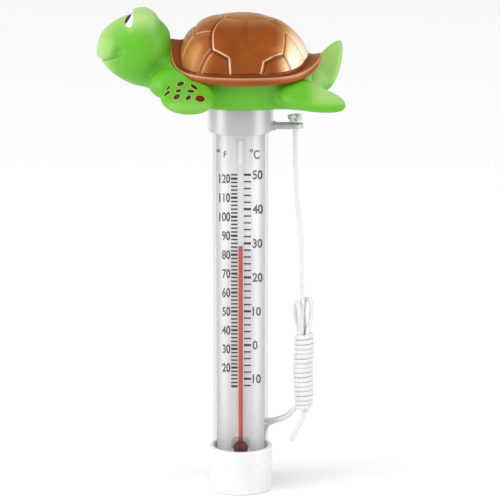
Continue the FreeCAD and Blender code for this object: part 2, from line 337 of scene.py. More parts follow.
def make_clear(name, tint, edge_shade, edge, gloss, roughness):
    """A clear wall: light goes straight through it, darkened towards its outline as painted
    shade, and its outward faces reflect by angle.
    """
    s = Shader(name)
    s.tree.nodes.remove(s.bsdf)
    facing = s.node("ShaderNodeLayerWeight", Blend=0.5).outputs["Facing"]
    streak = s.noise(18.0, 2.0)
    # Painted shade: the wall lets less light through towards its outline, in place of the dark
    # edges that refraction gives.
    shade = s.mix(s.remap(facing, 0.22, 0.60), tint, edge_shade)
    shade = s.mix(s.remap(facing, 0.80, 1.0), shade, tuple(c * edge for c in edge_shade))
    through = s.node("ShaderNodeBsdfTransparent", Color=shade).outputs[0]
    shine = s.node("ShaderNodeBsdfGlossy", Color=(1, 1, 1, 1),
                   Roughness=s.remap(streak, 0.3, 0.7, roughness, roughness + 0.03)).outputs[0]
    # Schlick's rule, kept off the faces that light leaves by.
    steep = s.math("POWER", facing, 5.0)
    share = s.math("MULTIPLY_ADD", steep, GRAZING_SHARE, FACING_SHARE)
    share = s.math("MULTIPLY", share, gloss)
    back = s.node("ShaderNodeNewGeometry").outputs["Backfacing"]
    share = s.math("MULTIPLY", share, s.math("SUBTRACT", 1.0, back))
    mixed = s.node("ShaderNodeMixShader")
    for value, socket in zip((share, through, shine), mixed.inputs):
        s.plug(value, socket)
    s.plug(mixed.outputs[0], s.out.inputs["Surface"])
    return s.material


NECK_TOP = 28.0
NECK_LOW = 24.5


def make_spirit():
    """Dyed spirit: bright red in the bore, and dark where it is deep in the bulb."""
    s = Shader("dyed_spirit")
    place = s.node("ShaderNodeTexCoord").outputs["Object"]
    height = s.node("ShaderNodeSeparateXYZ", Vector=place).outputs[2]
    deep = s.remap(height, NECK_TOP * MM, NECK_LOW * MM)
    tone = s.paint(s.noise(3.0), (186, 74, 72), (176, 66, 66))
    s.set(Base_Color=s.paint(deep, tone, (80, 1, 16)), Roughness=0.35, Specular_IOR_Level=0.1)
    return s.material


def make_cord_fabric():
    """White braided polyester: soft sheen, fine fibre bump and faint painted shade in the
    hollows.
    """
    s = Shader("cord_braid")
    fibre = s.noise(0.22, 4.0, 0.7)
    hollow = s.attribute("braid")
    # Painted shade: the braid's hollows are darker.
    tone = s.paint(hollow, (196, 196, 195), (222, 222, 221))
    s.set(Base_Color=s.paint(s.remap(fibre, 0.35, 0.75), tone, (229, 229, 228)), Roughness=0.8,
          Sheen_Weight=0.2, Sheen_Roughness=0.4)
    s.bump(fibre, 0.35, 0.12)
    return s.material


GREEN = (90, 168, 31)


def make_green_vinyl():
    """Soft green vinyl with painted highlights, painted shade in its creases, and dark red spots
    on the fore flippers.
    """
    s = Shader("green_vinyl")
    cloud = s.noise(16.0, 2.0)
    green = s.paint(s.remap(cloud, 0.3, 0.7), GREEN, [c + 6 for c in GREEN])
    # Painted highlight: lighter yellow-green on the snout, the crown, the hind flippers and the
    # fore flippers' tips.
    green = s.paint(s.attribute("painted_highlight"), green, (180, 210, 134))
    # Painted shade: darker green along the mouth line and the fold between cheek and neck.
    green = s.paint(s.attribute("crease"), green, (34, 116, 20))
    spot = s.attribute("spot")
    ring = s.paint(s.remap(spot, 0.0, 0.6), (146, 208, 98), GREEN)
    rim = s.mix(s.remap(spot, 0.45, 0.8), ring, green)
    red = s.paint(s.remap(spot, -1.5, -0.15), (104, 1, 4), (52, 1, 2))
    s.set(Base_Color=s.mix(s.remap(spot, -0.12, 0.12), red, rim),
          Roughness=s.remap(s.noise(3.0), 0.3, 0.7, 0.34, 0.44),
          Subsurface_Weight=0.15, Subsurface_Scale=0.002, Specular_IOR_Level=0.35)
    s.bsdf.inputs["Subsurface Radius"].default_value = (0.6, 1.0, 0.3)
    s.bump(s.noise(0.55, 3.0), 0.05, 0.12)
    return s.material


def make_bronze():
    """Bronze paint: brown plates, painted highlights on its ends, crown, plate edges and lip, and
    painted shade in its seams and gutter.
    """
    s = Shader("pearl_bronze")
    cloud = s.noise(11.0, 3.0)
    flake = s.noise(0.28, 2.0)
    brown = s.paint(s.remap(cloud, 0.3, 0.7), (136, 61, 1), (152, 76, 4))
    # Painted highlight: the shell's ends and crown are paler, almost cream at the rear.
    shell_highlight = s.attribute("shell_highlight")
    brown = s.paint(s.remap(shell_highlight, 0.0, 0.55), brown, (206, 156, 88))
    brown = s.paint(s.remap(shell_highlight, 0.5, 1.0), brown, (248, 232, 206))
    # Cream painted highlight along the side plates' edges, beside the plain seams and on the lip.
    edge_highlight = s.paint(s.attribute("ridge"), brown, (244, 206, 160))
    # Painted shade: darker brown in the seams and in the rim's gutter.
    painted = s.paint(s.attribute("groove"), edge_highlight, (102, 42, 8))
    sheen = s.node("ShaderNodeLayerWeight", Blend=0.5).outputs["Facing"]
    pearl = s.paint(s.remap(sheen, 0.55, 1.0, 0.0, 0.5), painted, (226, 168, 108))
    s.set(Base_Color=pearl, Metallic=s.remap(shell_highlight, 0.0, 1.0, 0.35, 0.1),
          Roughness=s.remap(flake, 0.3, 0.7, 0.38, 0.48), Coat_Weight=0.2, Coat_Roughness=0.2,
          Specular_IOR_Level=0.3)
    s.bump(flake, 0.05, 0.05)
    return s.material


def make_eye(name):
    """Glossy white eye with a black pupil."""
    s = Shader(name)
    pupil = s.attribute("pupil")
    white = s.paint(s.noise(4.0), (238, 240, 244), (228, 232, 240))
    s.set(Base_Color=s.paint(s.remap(pupil, -0.08, 0.08), (4, 4, 5), white), Roughness=0.22,
          Coat_Weight=0.25, Coat_Roughness=0.05)
    return s.material


# ---- camera and studio ----
def add_camera():
    """The camera stands far off, a little above the object, and looks down at it."""
    data = bpy.data.cameras.new("camera")
    data.lens = CAMERA_LENS
    data.sensor_width = CAMERA_SENSOR
    data.clip_end = 50.0
    camera = link(bpy.data.objects.new("camera", data))
    pitch = math.radians(CAMERA_PITCH)
    away = Vector((0, -math.cos(pitch), math.sin(pitch)))
    camera.location = (Vector(CAMERA_AIM) + away * CAMERA_DISTANCE) * MM
    camera.rotation_euler = (math.pi / 2 - pitch, 0, 0)
    bpy.context.scene.camera = camera


def add_panel(name, place, aim, size, power):
    """A soft rectangular light that looks at a point."""
    data = bpy.data.lights.new(name, "AREA")
    data.shape = "RECTANGLE"
    data.size, data.size_y = size
    data.energy = power
    panel = link(bpy.data.objects.new(name, data))
    panel.location = place
    towards = Vector(aim) - Vector(place)
    panel.rotation_euler = towards.to_track_quat("-Z", "Y").to_euler()
    return panel


def add_studio():
    """A pale floor under an even sky, a broad soft sun from above and two upright panels."""
    scene = bpy.context.scene
    scene.view_settings.view_transform = "Standard"
    # Light passes up to twelve clear faces on its way to the card behind the tube and the stem.
    scene.cycles.transparent_max_bounces = 20
    world = bpy.data.worlds.new("studio")
    world.use_nodes = True
    colour, strength = world.node_tree.nodes["Background"].inputs[:2]
    colour.default_value = (1.0, 1.0, 1.0, 1.0)
    strength.default_value = SKY
    scene.world = world
    corners = np.array([(-1, -1, 0), (1, -1, 0), (1, 1, 0), (-1, 1, 0)]) * FLOOR_HALF
    floor = mesh_object("floor", corners, [(0, 1, 2, 3)], smooth=False)
    dress(floor, make_plain("studio_floor", (300.0,), (250, 250, 250), (247, 247, 248),
                            Roughness=0.6, Specular_IOR_Level=0.2))
    sun = bpy.data.lights.new("soft_sun", "SUN")
    sun.energy = SUN
    sun.angle = math.radians(SUN_SPREAD)
    lamp = link(bpy.data.objects.new("soft_sun", sun))
    lamp.visible_glossy = False
    lamp.rotation_euler = Vector((-0.35, -0.45, 1.0)).to_track_quat("Z", "Y").to_euler()
    middle = (0, 0, 0.16)
    add_panel("left_panel", (-1.05, -0.46, 0.30), middle, (0.60, 1.4), LEFT_W)
    add_panel("right_panel", (1.05, -0.56, 0.30), middle, (0.60, 1.4), RIGHT_W)
    # Two bright strips that only the smooth tube and caps mirror.
    shiny = bpy.data.collections.new("shiny")
    for name in ("outer_tube", "top_cap", "base_cap"):
        shiny.objects.link(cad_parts[name])
    # Two more, farther back, that light the top cap's outline.
    cap_only = bpy.data.collections.new("cap_only")
    cap_only.objects.link(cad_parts["top_cap"])
    for name, x, y, width, power, receivers in (
            ("left_strip", -0.143, -0.046, 0.08, STRIP_W, shiny),
            ("right_strip", 0.139, -0.057, 0.08, STRIP_W, shiny),
            ("left_edge", -0.35, 0.44, 0.30, EDGE_W, cap_only),
            ("right_edge", 0.35, 0.44, 0.30, EDGE_W, cap_only)):
        strip = add_panel(name, (x, y, 0.13), (0, 0, 0.13), (width, 0.26), power)
        strip.visible_diffuse = False
        strip.visible_camera = False
        strip.light_linking.receiver_collection = receivers


# ---- cord ----
def spline_points(name, route):
    """The points of a smooth NURBS line through a route in millimetres, as Blender draws it."""
    curve = bpy.data.curves.new(name, "CURVE")
    curve.dimensions = "3D"
    spline = curve.splines.new("NURBS")
    spline.points.add(len(route) - 1)
    for point, place in zip(spline.points, route):
        point.co = (place[0] * MM, place[1] * MM, place[2] * MM, 1.0)
    spline.order_u = 3
    spline.use_endpoint_u = True
    spline.resolution_u = 12
    return drawn(curve)[0] / MM


def distance_along(points):
    """How far along a line each of its points is."""
    return np.concatenate([[0], np.cumsum(np.linalg.norm(np.diff(points, axis=0), axis=1))])


def evenly(points, step):
    """The same line with points at equal distances."""
    along = distance_along(points)
    wanted = np.linspace(0, along[-1], max(2, int(round(along[-1] / step)) + 1))
    return np.stack([np.interp(wanted, along, column) for column in points.T], axis=1), wanted


def frames_along(points):
    """Directions across a line that turn with it and never spin."""
    tangent = unit(np.gradient(points, axis=0))
    across = np.zeros_like(points)
    across[0] = unit(np.cross(tangent[0], (0, 1, 0.2)))
    for i in range(1, len(points)):
        across[i] = unit(across[i - 1] - tangent[i] * np.dot(across[i - 1], tangent[i]))
    return across, np.cross(tangent, across)


def tube_mesh(points, radii, sides, relief=None):
    """Points and faces of a tube, capped at both ends. relief(angle, along) scales its radius."""
    across, other = frames_along(points)
    angle = circle(sides)
    wide = np.asarray(radii)[:, None] * np.ones(sides)
    if relief is not None:
        wide = wide * relief(angle[None, :], distance_along(points)[:, None])
    ring = (across[:, None, :] * np.cos(angle)[None, :, None]
            + other[:, None, :] * np.sin(angle)[None, :, None])
    verts = (points[:, None, :] + ring * wide[:, :, None]).reshape(-1, 3)
    faces = ring_faces(len(points), sides)[:, [0, 3, 2, 1]].tolist()
    first, last, end = len(verts), len(verts) + 1, len(verts) - sides
    verts = np.vstack([verts, points[0], points[-1]])
    for a in range(sides):
        b = (a + 1) % sides
        faces += [[first, b, a], [last, end + a, end + b]]
    return verts, faces


BRAID_STRANDS = 4
BRAID_LEAD = 7.0
BRAID_DEPTH = 0.10


def braid_height(angle, along):
    """Height of the braid's surface, from 0 in its hollows to 1 on its strands."""
    turn = 2 * math.pi * along / BRAID_LEAD
    return np.maximum(np.abs(np.cos(BRAID_STRANDS * (angle + turn))),
                      np.abs(np.cos(BRAID_STRANDS * (angle - turn))))


def braid_relief(angle, along):
    """The braid as a factor on the cord's radius."""
    return 1.0 - BRAID_DEPTH * (1.0 - braid_height(angle, along))


def braid_paint(along, sides):
    """The braid's hollows and strands at each point of a tube's rings."""
    height = braid_height(circle(sides)[None, :], along[:, None])
    return smoothstep(0.70, 0.98, height.reshape(-1))


def core_run(dx, dy, first, last, count=6):
    """Points of one straight strand inside the hank."""
    return [(HANK_X + dx, dy, z) for z in np.linspace(first, last, count)]


def wrap_route():
    """The turns round the hank, from its foot to its waist."""
    points = []
    for i in [0, *range(WRAP_SKIP, int(WRAP_TURNS * WRAP_STEPS) + 1)]:
        turn = i / WRAP_STEPS
        angle = 2 * math.pi * turn - 0.9
        taper = 1.5 * math.exp(-turn / 1.5) + 1.0 * math.exp(-(WRAP_TURNS - turn) / 0.7)
        radius = WRAP_R - taper + 0.08 * math.sin(2.3 * turn)
        drift = 0.25 * math.sin(turn * 0.55)
        z = WRAP_LOW + WRAP_PITCH * turn + 0.08 * math.sin(1.7 * turn)
        points.append((HANK_X + drift + radius * math.cos(angle), radius * math.sin(angle), z))
    return points


def cord_route():
    """The whole cord: lead, hank, bight behind the tube, wraps and free end."""
    c = HANK_CORE
    down_first = core_run(-c, -c, 88.0, 52.0)
    up = core_run(c, c, 54.0, 76.0, 4)
    right_loop = [(31.4, 1.9, 81.5), (30.9, 2.9, 87.0), (31.0, 3.0, 92.6), (31.8, 2.6, 95.8),
                  (34.4, 0.8, 95.7), (35.1, 0.1, 92.4), (34.9, -0.4, 87.0), (33.4, -1.0, 81.5)]
    down_second = core_run(c, -c, 75.0, 44.0)
    left_lobe = [(28.0, 1.6, 83.0), (26.9, 1.1, 88.0), (26.8, 0.5, 92.4), (27.2, -0.7, 94.9),
                 (28.2, -2.8, 94.8), (28.7, -3.3, 91.6), (29.1, -2.5, 84.5), (29.6, -0.2, 80.0)]
    down_last = core_run(-c, c, 74.0, 48.0)
    return (LEAD_ROUTE + down_first + BIGHT_ROUTE + up + right_loop + down_second + wrap_route()
            + left_lobe + down_last + TAIL_ROUTE)


def make_cord(fabric):
    """The lanyard: one braided tube along its route, melted smooth at its free end."""
    line, along = evenly(spline_points("cord_line", cord_route()), LINE_STEP)
    to_end = along[-1] - along
    round_end = np.sqrt(1 - (1 - np.clip(to_end, 0.0, 1.0)) ** 2 * 0.98)
    radii = CORD_D / 2 * round_end * (1 + 0.07 * bell(to_end - 1.2, 0.9))
    cord = mesh_object("cord", *tube_mesh(line, radii, CORD_SIDES, braid_relief))
    # The braid's hollows are marked for the fabric's painted shade.
    float_attribute(cord, "braid", np.append(braid_paint(along, CORD_SIDES), [1, 1]))
    dress(cord, fabric)
    return cord, line


KNOT_X = 26.0
KNOT_RISE = 2.75
KNOT_SIZE = 0.74
KNOT_SQUASH = 0.66
KNOT_CORD_R = 1.12
KNOT_SIDES = 16
FRAY_HAIRS = 46


def make_knot(fabric):
    """The stopper knot on the tab: a tight overhand knot with a frayed end."""
    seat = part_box("cord_knot")[0][2] / MM
    centre = np.array([KNOT_X, 0.0, seat + KNOT_RISE])
    t = np.linspace(0.35, 2 * math.pi - 0.15, 150)
    path = np.stack([np.sin(t) + 2 * np.sin(2 * t), -1.15 * np.sin(3 * t),
                     np.cos(t) - 2 * np.cos(2 * t)], axis=1) * KNOT_SIZE
    path[:, 2] *= KNOT_SQUASH
    line, along = evenly(path + centre, 0.2)
    pieces = [tube_mesh(line, np.full(len(line), KNOT_CORD_R), KNOT_SIDES, braid_relief)]
    rng = random.Random(7)
    for _ in range(FRAY_HAIRS):
        root = centre + np.array([1.4, rng.uniform(-0.9, 0.9), rng.uniform(-0.3, 1.5)])
        way = unit(np.array([1.0, rng.uniform(-0.9, 0.9), rng.uniform(-0.5, 1.0)]))
        bend = np.array([rng.uniform(-0.5, 0.5), rng.uniform(-0.5, 0.5), rng.uniform(-0.8, 0.2)])
        reach = rng.uniform(1.6, 3.4)
        s = np.linspace(0, 1, 6)[:, None]
        hair = root + way * reach * s + bend * s ** 2
        pieces.append(tube_mesh(hair, np.linspace(0.11, 0.05, 6), 4))
    verts, faces = joined(pieces)
    verts[:, 2] = np.maximum(verts[:, 2], seat + 0.02)
    knot = mesh_object("stopper_knot", verts, faces)
    # The braid's hollows are marked for the fabric's painted shade, as on the cord.
    marks = np.ones(len(verts))
    marks[:len(line) * KNOT_SIDES] = braid_paint(along, KNOT_SIDES)
    float_attribute(knot, "braid", marks)
    dress(knot, fabric)
    return knot


# ---- solids from a distance field ----
def blend_min(a, b, k):
    """The union of two fields with a fillet of about k."""
    h = np.clip(0.5 + 0.5 * (b - a) / k, 0, 1)
    return b * (1 - h) + a * h - k * h * (1 - h)


def blend_max(a, b, k):
    """The overlap of two fields with a rounded edge."""
    return -blend_min(-a, -b, k)


def turned(p, centre, yaw=0.0, pitch=0.0, roll=0.0):
    """Points in the frame of a piece at centre, turned by degrees about Z, then Y, then X."""
    q = p - np.asarray(centre, float)
    for axis, angle in ((2, yaw), (1, pitch), (0, roll)):
        c, s = math.cos(math.radians(angle)), math.sin(math.radians(angle))
        i, j = [(1, 2), (2, 0), (0, 1)][axis]
        qi, qj = q[:, i].copy(), q[:, j].copy()
        q[:, i], q[:, j] = c * qi + s * qj, -s * qi + c * qj
    return q


def field_ellipsoid(p, centre, half, **turn):
    """Distance to a turned ellipsoid."""
    return oval_distance(turned(p, centre, **turn).T, half)


def field_cone(p, a, b, ra, rb):
    """Distance to a round bar whose radius goes from ra to rb."""
    a, b = np.asarray(a, float), np.asarray(b, float)
    along = b - a
    t = np.clip(((p - a) @ along) / (along @ along), 0, 1)
    return np.linalg.norm(p - a - t[:, None] * along, axis=1) - (ra + (rb - ra) * t)


def oval_distance(place, half):
    """Distance to an ellipse or an ellipsoid, near enough close to it."""
    k0 = np.sqrt(sum((x / h) ** 2 for x, h in zip(place, half)))
    k1 = np.sqrt(sum((x / h ** 2) ** 2 for x, h in zip(place, half)))
    return k0 * (k0 - 1) / np.maximum(k1, 1e-9)


def plate(flat, height, half_height, edge):
    """Distance to a plate: its outline's distance, its height, and how round its edge is."""
    a = flat + edge
    b = np.abs(height) - half_height + edge
    outside = np.sqrt(np.maximum(a, 0) ** 2 + np.maximum(b, 0) ** 2)
    return outside + np.minimum(np.maximum(a, b), 0) - edge


def field_mesh(field, low, high, step):
    """A smooth quad mesh where a distance field is zero, by surface nets."""
    axes = [np.arange(l, h + step, step) for l, h in zip(low, high)]
    shape = tuple(len(a) for a in axes)
    grid = np.stack(np.meshgrid(*axes, indexing="ij"), axis=-1).reshape(-1, 3)
    values = np.concatenate([field(part) for part in np.array_split(grid, 24)]).reshape(shape)
    inside = values < 0
    cells = tuple(n - 1 for n in shape)
    corners = [(i, j, k) for i in (0, 1) for j in (0, 1) for k in (0, 1)]

    def corner(array, c):
        return array[c[0]:c[0] + cells[0], c[1]:c[1] + cells[1], c[2]:c[2] + cells[2]]

    filled = sum(corner(inside, c).astype(int) for c in corners)
    active = (filled > 0) & (filled < 8)
    number = np.full(cells, -1)
    number[active] = np.arange(active.sum())
    base = np.argwhere(active)
    total = np.zeros((len(base), 3))
    hits = np.zeros(len(base))
    for a in corners:
        for b in corners:
            if sum(b) - sum(a) != 1 or any(y < x for x, y in zip(a, b)):
                continue
            fa, fb = corner(values, a)[active], corner(values, b)[active]
            cross = (fa < 0) != (fb < 0)
            t = np.where(cross, fa / np.where(cross, fa - fb, 1), 0)[:, None]
            place = np.array(a) + t * (np.array(b) - np.array(a))
            total += np.where(cross[:, None], place, 0)
            hits += cross
    verts = (base + total / hits[:, None]) * step + np.array(low)
    faces = []
    for axis in range(3):
        i, j = [(1, 2), (2, 0), (0, 1)][axis]
        span = [slice(1, n - 1) for n in shape]
        span[axis] = slice(0, shape[axis] - 1)
        here = inside[tuple(span)]
        span[axis] = slice(1, shape[axis])
        there = inside[tuple(span)]
        where = np.argwhere(here != there)
        flip = here[tuple(where.T)]
        where[:, i] += 1
        where[:, j] += 1
        quad = []
        for di, dj in ((-1, -1), (0, -1), (0, 0), (-1, 0)):
            cell = where.copy()
            cell[:, i] += di
            cell[:, j] += dj
            quad.append(number[tuple(cell.T)])
        quad = np.stack(quad, axis=1)
        quad[~flip] = quad[~flip][:, ::-1]
        faces.append(quad)
    faces = np.vstack(faces)
    for _ in range(3):
        verts = onto_field(relax(verts, faces), field)
    return verts, faces


SLOPE_STEP = 0.04


def onto_field(p, field):
    """Points moved to where the field is zero."""
    for _ in range(2):
        slope = np.stack([(field(p + h) - field(p - h)) / (2 * SLOPE_STEP)
                          for h in SLOPE_STEP * np.eye(3)], axis=1)
        steep = np.maximum((slope ** 2).sum(axis=1), 0.05)
        move = -(field(p) / steep)[:, None] * slope
        length = np.linalg.norm(move, axis=1, keepdims=True)
        p = p + move * np.minimum(1, 0.6 / np.maximum(length, 1e-9))
    return p


def relax(verts, faces):
    """Each point moves half way to the middle of its neighbours."""
    total = np.zeros_like(verts)
    count = np.zeros(len(verts))
    for a, b in ((0, 1), (1, 2), (2, 3), (3, 0)):
        for x, y in ((faces[:, a], faces[:, b]), (faces[:, b], faces[:, a])):
            np.add.at(total, x, verts[y])
            np.add.at(count, x, 1)
    return verts + 0.5 * (total / np.maximum(count, 1)[:, None] - verts)


# ---- turtle's green body ----
BELLY_Z = 194.5
SKULL = (-48.8, 0.0, 221.3)
SKULL_HALF = (16.4, 15.0, 17.4)
MUZZLE = (-57.2, 0.0, 221.6)
MUZZLE_HALF = (12.1, 11.6, 12.2)
MOUTH_MIDDLE_X = -55.0
MOUTH_CORNER = 80.0
EYE = (-51.5, 6.8, 235.0)
EYE_HALF = (4.3, 4.3, 4.5)
LID = (-47.8, 6.4, 233.7)
LID_HALF = (7.8, 6.4, 6.7)
LID_X = -52.1
MOUTH_Z = 216.3
FORE_BLADE = dict(centre=(-25.4, 29.6, 203.9), half=(15.0, 12.8), thick=2.9,
                  turn=dict(yaw=80.0, pitch=20.0))
FORE_BEND = (-0.05, 0.9)
HIND_LOW = dict(centre=(34.8, 24.4, 201.4), half=(16.6, 8.2), thick=3.0,
                turn=dict(yaw=21.0, pitch=9.5, roll=-24.0))
HIND_HIGH = dict(centre=(42.4, 23.0, 208.4), half=(14.0, 6.6), thick=2.4,
                 turn=dict(yaw=22.0, pitch=-60.0, roll=58.0))
TRUNK_X = 1.5
TRUNK_HALF = (33.0, 21.8)
TRUNK_TOP = 211.0
TRUNK_EDGE = 2.6
NECK_ENDS = ((-46.0, 0, 214.0), (-27.0, 0, 207.5))
NECK_R = (10.8, 11.5)
SHOULDER = (-32.4, 13.5, 206.2)
SHOULDER_HALF = (11.8, 9.0, 7.6)
HIP = (29.5, 16.0, 201.0)
HIP_HALF = (11.0, 8.5, 7.2)
MESH_LOW = (-72, -48, 192)
MESH_HIGH = (56, 48, 243)


def blade_coords(p, blade):
    """Points in a flipper's own frame: along it, across it and through it."""
    return turned(p, blade["centre"], **blade["turn"])


def field_blade(p, blade, taper=0.0, camber=0.0):
    """A flipper: an oval plate that narrows to its tip and bends across."""
    q = blade_coords(p, blade)
    half_u, half_v = blade["half"]
    width = 1.0 - taper * q[:, 0] / half_u
    flat = oval_distance((q[:, 0], q[:, 1] / np.clip(width, 0.35, 2.0)), blade["half"])
    lift = camber * (q[:, 1] / half_v) ** 2
    return plate(flat, q[:, 2] + lift, blade["thick"], blade["thick"] * 0.96)


def mouth_height(p):
    """Height of the mouth line round the head, and how much of it there is at a point."""
    angle = np.abs(np.arctan2(p[:, 1], MOUTH_MIDDLE_X - p[:, 0]))
    share = angle / math.radians(MOUTH_CORNER)
    height = MOUTH_Z + 4.0 * share ** 2.0
    return height, 1 - smoothstep(0.94, 1.06, share), share


def field_head(p):
    """Head with its mouth, brows and lids. Both sides are alike, so p has Y made positive."""
    head = blend_min(field_ellipsoid(p, SKULL, SKULL_HALF),
                     field_ellipsoid(p, MUZZLE, MUZZLE_HALF), 5.0)
    height, mask, share = mouth_height(p)
    gap = p[:, 2] - height
    crease = 1.2 * bell(gap, 0.8)
    lip = -0.7 * bell(gap - 2.2, 1.9) * (1 - 0.5 * share)
    jaw = 0.6 * smoothstep(0.2, -1.6, gap) * smoothstep(-14.0, -3.0, gap)
    front = smoothstep(-50.0, -57.0, p[:, 0])
    head = head + mask * front * (crease + lip + jaw)
    corner = field_ellipsoid(p, (-59.0, 12.5, 221.6), (2.4, 1.3, 1.4), yaw=20.0, pitch=-35.0)
    head = blend_max(head, -corner, 2.4)
    lid = blend_max(field_ellipsoid(p, LID, LID_HALF), LID_X - p[:, 0], 0.6)
    return blend_min(head, lid, 2.4)


def field_under_shell(p):
    """The space that the shell takes up."""
    u, v = (p[:, 0] - RIM_X) / RIM_HALF[0], p[:, 1] / RIM_HALF[1]
    n = np.where(u < 0, *RIM_POWERS)
    reach = squared(u, v, n)
    return np.maximum((reach - 1) * RIM_HALF[1] + 0.1, rim_low(np.arctan2(v, u)) + 0.5 - p[:, 2])


def field_turtle(p):
    """The whole green body."""
    both = folded(p)
    rim = oval_distance((p[:, 0] - TRUNK_X, p[:, 1]), TRUNK_HALF)
    middle = (BELLY_Z + TRUNK_TOP) / 2
    body = plate(rim, p[:, 2] - middle, TRUNK_TOP - middle, TRUNK_EDGE)
    for part, fillet in ((field_cone(p, *NECK_ENDS, *NECK_R), 4.0),
                         (field_ellipsoid(both, SHOULDER, SHOULDER_HALF, yaw=-15.0), 4.6),
                         (field_blade(both, FORE_BLADE, *FORE_BEND), 3.4),
                         (field_ellipsoid(both, HIP, HIP_HALF, yaw=10.0), 4.0),
                         (field_blade(p * (1, -1, 1), HIND_LOW, 0.28, 0.5), 4.5),
                         (field_blade(p, HIND_HIGH, 0.38, 0.3), 4.0),
                         (field_head(both), 2.6)):
        body = blend_min(body, part, fillet)
    body = blend_max(body, -field_under_shell(p), 0.25)
    return blend_max(body, BELLY_Z - p[:, 2], 0.25)


# Spots on a fore flipper's upper face: along and across the blade, half sizes, turn in degrees.
FORE_SPOTS = [
    (-6.2, 2.4, 2.4, 1.5, 38), (-3.0, -3.7, 2.8, 1.2, -21), (-3.5, 8.7, 2.4, 0.6, 34),
    (0.0, 4.3, 1.8, 1.2, 35), (0.9, -1.5, 1.9, 1.5, -79), (1.1, 9.9, 2.5, 0.9, 41),
    (5.3, 6.0, 2.6, 1.4, 32), (6.8, 0.6, 2.5, 1.2, 26), (7.8, -4.9, 3.1, 2.3, 10),
]


def spot_distance(p):
    """Distance to the nearest painted spot on the fore flippers' upper faces."""
    both = folded(p)
    q = blade_coords(both, FORE_BLADE)
    nearest = np.full(len(p), 9.0)
    for along, across, half_a, half_b, turn in FORE_SPOTS:
        c, s = math.cos(math.radians(turn)), math.sin(math.radians(turn))
        u, v = q[:, 0] - along, q[:, 1] - across
        here = oval_distance((c * u + s * v, -s * u + c * v), (half_a, half_b))
        nearest = np.minimum(nearest, here)
    upper = q[:, 2] > -0.5
    return np.where(upper & (both[:, 1] > 18.0), np.clip(nearest, -5, 9), 9.0)


def make_turtle():
    """Green body as one smooth mesh with its paint, painted shade and painted highlights stored
    on it.
    """
    step = 0.75
    verts, faces = field_mesh(field_turtle, MESH_LOW, MESH_HIGH, step)
    body = mesh_object("turtle_body", verts, faces)
    float_attribute(body, "spot", spot_distance(verts))
    both = folded(verts)
    height, mask, _ = mouth_height(both)
    x, z = verts[:, 0], verts[:, 2]
    # Painted shade along the mouth line and the fold between cheek and neck.
    line = bell(z - height, 0.5) * mask * (x < -54.0)
    fold = bell(field_cone(both, (-40.0, 12.0, 214.0), (-45.0, 13.0, 203.0), 1.0, 1.0), 3.0)
    float_attribute(body, "crease", np.clip(0.55 * line + 0.35 * fold, 0, 1))
    # Painted highlight on the fore flippers' tips, the snout, the crown and the hind flippers.
    edge = smoothstep(2.0, -1.0, np.abs(field_blade(both, FORE_BLADE, *FORE_BEND)))
    tip = smoothstep(6.0, 13.0, blade_coords(both, FORE_BLADE)[:, 0])
    snout = smoothstep(-58.0, -69.0, x)
    crown = smoothstep(228.0, 240.0, z) * smoothstep(-38.0, -42.0, x)
    hind = smoothstep(30.0, 40.0, x) * smoothstep(198.0, 203.0, z)
    painted_highlight = 0.22 * edge * tip + 0.7 * snout + 0.75 * crown + 0.55 * hind
    float_attribute(body, "painted_highlight", np.clip(painted_highlight, 0, 1))
    dress(body, make_green_vinyl())
    return body


def make_eye_mesh(side):
    """One eye: a smooth ball that stands out of the head, with its pupil turned forwards."""
    rows, columns = 48, 64
    lat = np.linspace(0, math.pi, rows)[:, None]
    lon = circle(columns)[None, :]
    ball = np.stack([np.sin(lat) * np.cos(lon), np.sin(lat) * np.sin(lon),
                     np.cos(lat) + 0 * lon], axis=-1).reshape(-1, 3)
    verts = ball * EYE_HALF + np.array([EYE[0], side * EYE[1], EYE[2]])
    gaze = unit((-0.74, side * 0.34, 0.58))
    up = unit(np.cross(np.cross(gaze, (0, 0, 1)), gaze))
    aside = np.cross(gaze, up)
    pupil = oval_distance((ball @ aside, ball @ up), (0.48, 0.62))
    pupil = np.where(ball @ gaze > 0, pupil, 1.0)
    name = "eye_near" if side < 0 else "eye_far"
    eye = mesh_object(name, verts, ring_faces(rows, columns))
    float_attribute(eye, "pupil", pupil)
    dress(eye, make_eye(name + "_paint"))
    return eye


# ---- shell ----
DOME_X = 1.0
DOME_FRONT = 30.8
DOME_REAR = 33.0
DOME_HALF_W = 24.0
DOME_H = 28.2
DOME_Z = 210.0
RIM_X = 2.6
RIM_HALF = (37.0, 27.5)
RIM_LOW_Z = 208.0
RIM_POWERS = (2.25, 2.0)
LIP_H = 2.6
# The rim's gutter, band, rounded lip, outer face and underside: the share of the way from the
# dome's foot to the rim's edge, and the height above the straight line between them.
RIM_PROFILE = [
    (0.06, -0.55), (0.14, -1.0), (0.26, -1.15), (0.40, -0.95), (0.56, -0.45), (0.70, 0.15),
    (0.80, 0.60), (0.88, 0.85), (0.94, 0.90), (0.98, 0.70), (1.0, 0.25), (1.005, -0.6),
    (0.998, -1.6), (0.98, -2.3), (0.93, -2.75), (0.85, -2.9), (0.70, -2.9), (0.45, -2.8),
    (0.20, -2.6),
]
